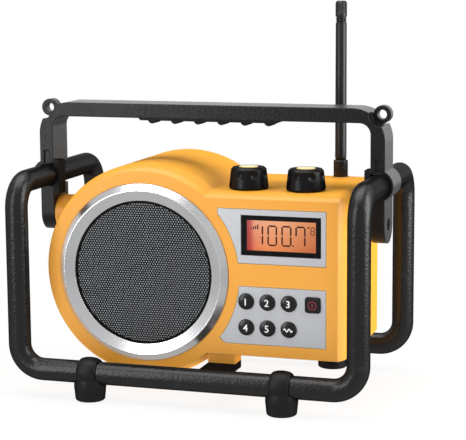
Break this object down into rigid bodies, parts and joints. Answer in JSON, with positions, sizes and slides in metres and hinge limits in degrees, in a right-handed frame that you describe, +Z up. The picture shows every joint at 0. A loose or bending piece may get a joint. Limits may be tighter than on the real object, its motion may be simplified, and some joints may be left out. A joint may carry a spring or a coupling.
{
  "type": "caged worksite radio",
  "caption": "Rugged portable radio: round speaker housing, lit display, push keys, top knobs and flexible aerial, carried in a black tube cage with a handle.",
  "frame": {"origin": "on the surface the feet stand on, midway between the side hoops and the front and rear tubes", "axes": "+Z up, front face towards -Y, +X to the right seen from the front"},
  "size_m": [0.303, 0.1866, 0.311],
  "materials": {
    "cage_paint": "fine textured charcoal paint",
    "joiner_steel": "plain turned rod",
    "foot_rubber": "matt",
    "handle_plastic": "fine textured moulding",
    "grip_rubber": "matt",
    "screw_steel": "bright zinc",
    "bolt_black": "blackened",
    "cabinet_yellow": "satin moulding",
    "pad_rubber": "matt",
    "ring_chrome": "satin chrome",
    "grille_black": "black perforated sheet",
    "frame_steel": "pressed sheet",
    "magnet_iron": "plain",
    "cone_paper": "pressed paper",
    "surround_rubber": "matt",
    "spider_cloth": "resin cloth",
    "panel_silver": "silver lacquer",
    "window_clear": "clear",
    "border_black": "black print",
    "lcd_amber": "lit amber",
    "backlight_white": "light guide",
    "key_black": "soft sheen",
    "board_green": "lacquered board",
    "control_metal": "plain",
    "knob_black": "fine texture",
    "disc_cream": "smooth",
    "aerial_black": "smooth sheath",
    "cell_wrap": "printed wrap, no lettering",
    "contact_steel": "plated",
    "socket_black": "plain"
  },
  "bodies": {
    "radio": {"left_side_tube": "cage_paint", "right_side_tube": "cage_paint", "front_cross_tube": "cage_paint", "rear_cross_tube": "cage_paint", "tube_joiners": "joiner_steel", "front_left_foot": "foot_rubber", "front_right_foot": "foot_rubber", "rear_left_foot": "foot_rubber", "rear_right_foot": "foot_rubber", "handle": "handle_plastic", "handle_grip": "grip_rubber", "clamp_jaws": "handle_plastic", "clamp_screws": "bolt_black", "bracket_bolts": "bolt_black", "front_cabinet": "cabinet_yellow", "rear_cabinet": "cabinet_yellow", "case_screws": "screw_steel", "front_saddle": "pad_rubber", "body_bumper": "pad_rubber", "speaker_ring": "ring_chrome", "speaker_grille": "grille_black", "speaker_frame": "frame_steel", "speaker_magnet": "magnet_iron", "speaker_surround": "surround_rubber", "speaker_spider": "spider_cloth", "speaker_screws": "screw_steel", "display_panel": "panel_silver", "display_window": "window_clear", "display_border": "border_black", "lcd_glass": "lcd_amber", "lcd_backlight": "backlight_white", "keypad_panel": "panel_silver", "keypad_board": "board_green", "main_board": "board_green", "volume_control": "control_metal", "tuning_encoder": "control_metal", "control_nuts": "screw_steel", "antenna_ferrule": "aerial_black", "hinge_pins": "screw_steel", "battery_cells": "cell_wrap", "battery_contacts": "contact_steel", "audio_socket": "socket_black"},
    "volume": {"volume_shaft": "control_metal", "volume_knob": "knob_black", "volume_disc": "disc_cream"},
    "tuning": {"tuning_shaft": "control_metal", "tuning_knob": "knob_black", "tuning_disc": "disc_cream"},
    "aerial": {"antenna_whip": "aerial_black", "antenna_tip": "aerial_black"},
    "door": {"battery_door": "cabinet_yellow", "door_screw": "screw_steel"},
    "cone": {"speaker_cone": "cone_paper"},
    "key_1_body": {"key_1": "key_black"},
    "key_2_body": {"key_2": "key_black"},
    "key_3_body": {"key_3": "key_black"},
    "key_4_body": {"key_4": "key_black"},
    "key_5_body": {"key_5": "key_black"},
    "band_key_body": {"band_key": "key_black"},
    "power_key_body": {"power_key": "key_black"}
  },
  "joints": [
    {"name": "volume_turn", "type": "hinge", "parent": "radio", "child": "volume", "pos_m": [0.0379, -0.0295, 0.175], "axis": [0, 0, -1], "range_deg": [-150, 150]},
    {"name": "tuning_turn", "type": "hinge", "parent": "radio", "child": "tuning", "pos_m": [0.0844, -0.0295, 0.175], "axis": [0, 0, -1], "continuous": true},
    {"name": "aerial_bend", "type": "hinge", "parent": "radio", "child": "aerial", "pos_m": [0.0914, 0.054, 0.1836], "axis": [1, 0, 0], "range_deg": [-40, 30], "stiffness_Nm_per_rad": 0.05},
    {"name": "door_swing", "type": "hinge", "parent": "radio", "child": "door", "pos_m": [0.002, 0.065, 0.0577], "axis": [-1, 0, 0], "range_deg": [0, 110]},
    {"name": "cone_travel", "type": "slide", "parent": "radio", "child": "cone", "axis": [0, 1, 0], "range_m": [-0.0015, 0.0015], "stiffness_N_per_m": 1500},
    {"name": "key_1_press", "type": "slide", "parent": "radio", "child": "key_1_body", "axis": [0, 1, 0], "range_m": [0, 0.001], "stiffness_N_per_m": 500, "springref_m": -0.0005},
    {"name": "key_2_press", "type": "slide", "parent": "radio", "child": "key_2_body", "axis": [0, 1, 0], "range_m": [0, 0.001], "stiffness_N_per_m": 500, "springref_m": -0.0005},
    {"name": "key_3_press", "type": "slide", "parent": "radio", "child": "key_3_body", "axis": [0, 1, 0], "range_m": [0, 0.001], "stiffness_N_per_m": 500, "springref_m": -0.0005},
    {"name": "key_4_press", "type": "slide", "parent": "radio", "child": "key_4_body", "axis": [0, 1, 0], "range_m": [0, 0.001], "stiffness_N_per_m": 500, "springref_m": -0.0005},
    {"name": "key_5_press", "type": "slide", "parent": "radio", "child": "key_5_body", "axis": [0, 1, 0], "range_m": [0, 0.001], "stiffness_N_per_m": 500, "springref_m": -0.0005},
    {"name": "band_key_press", "type": "slide", "parent": "radio", "child": "band_key_body", "axis": [0, 1, 0], "range_m": [0, 0.001], "stiffness_N_per_m": 500, "springref_m": -0.0005},
    {"name": "power_key_press", "type": "slide", "parent": "radio", "child": "power_key_body", "axis": [0, 1, 0], "range_m": [0, 0.001], "stiffness_N_per_m": 500, "springref_m": -0.0005}
  ]
}
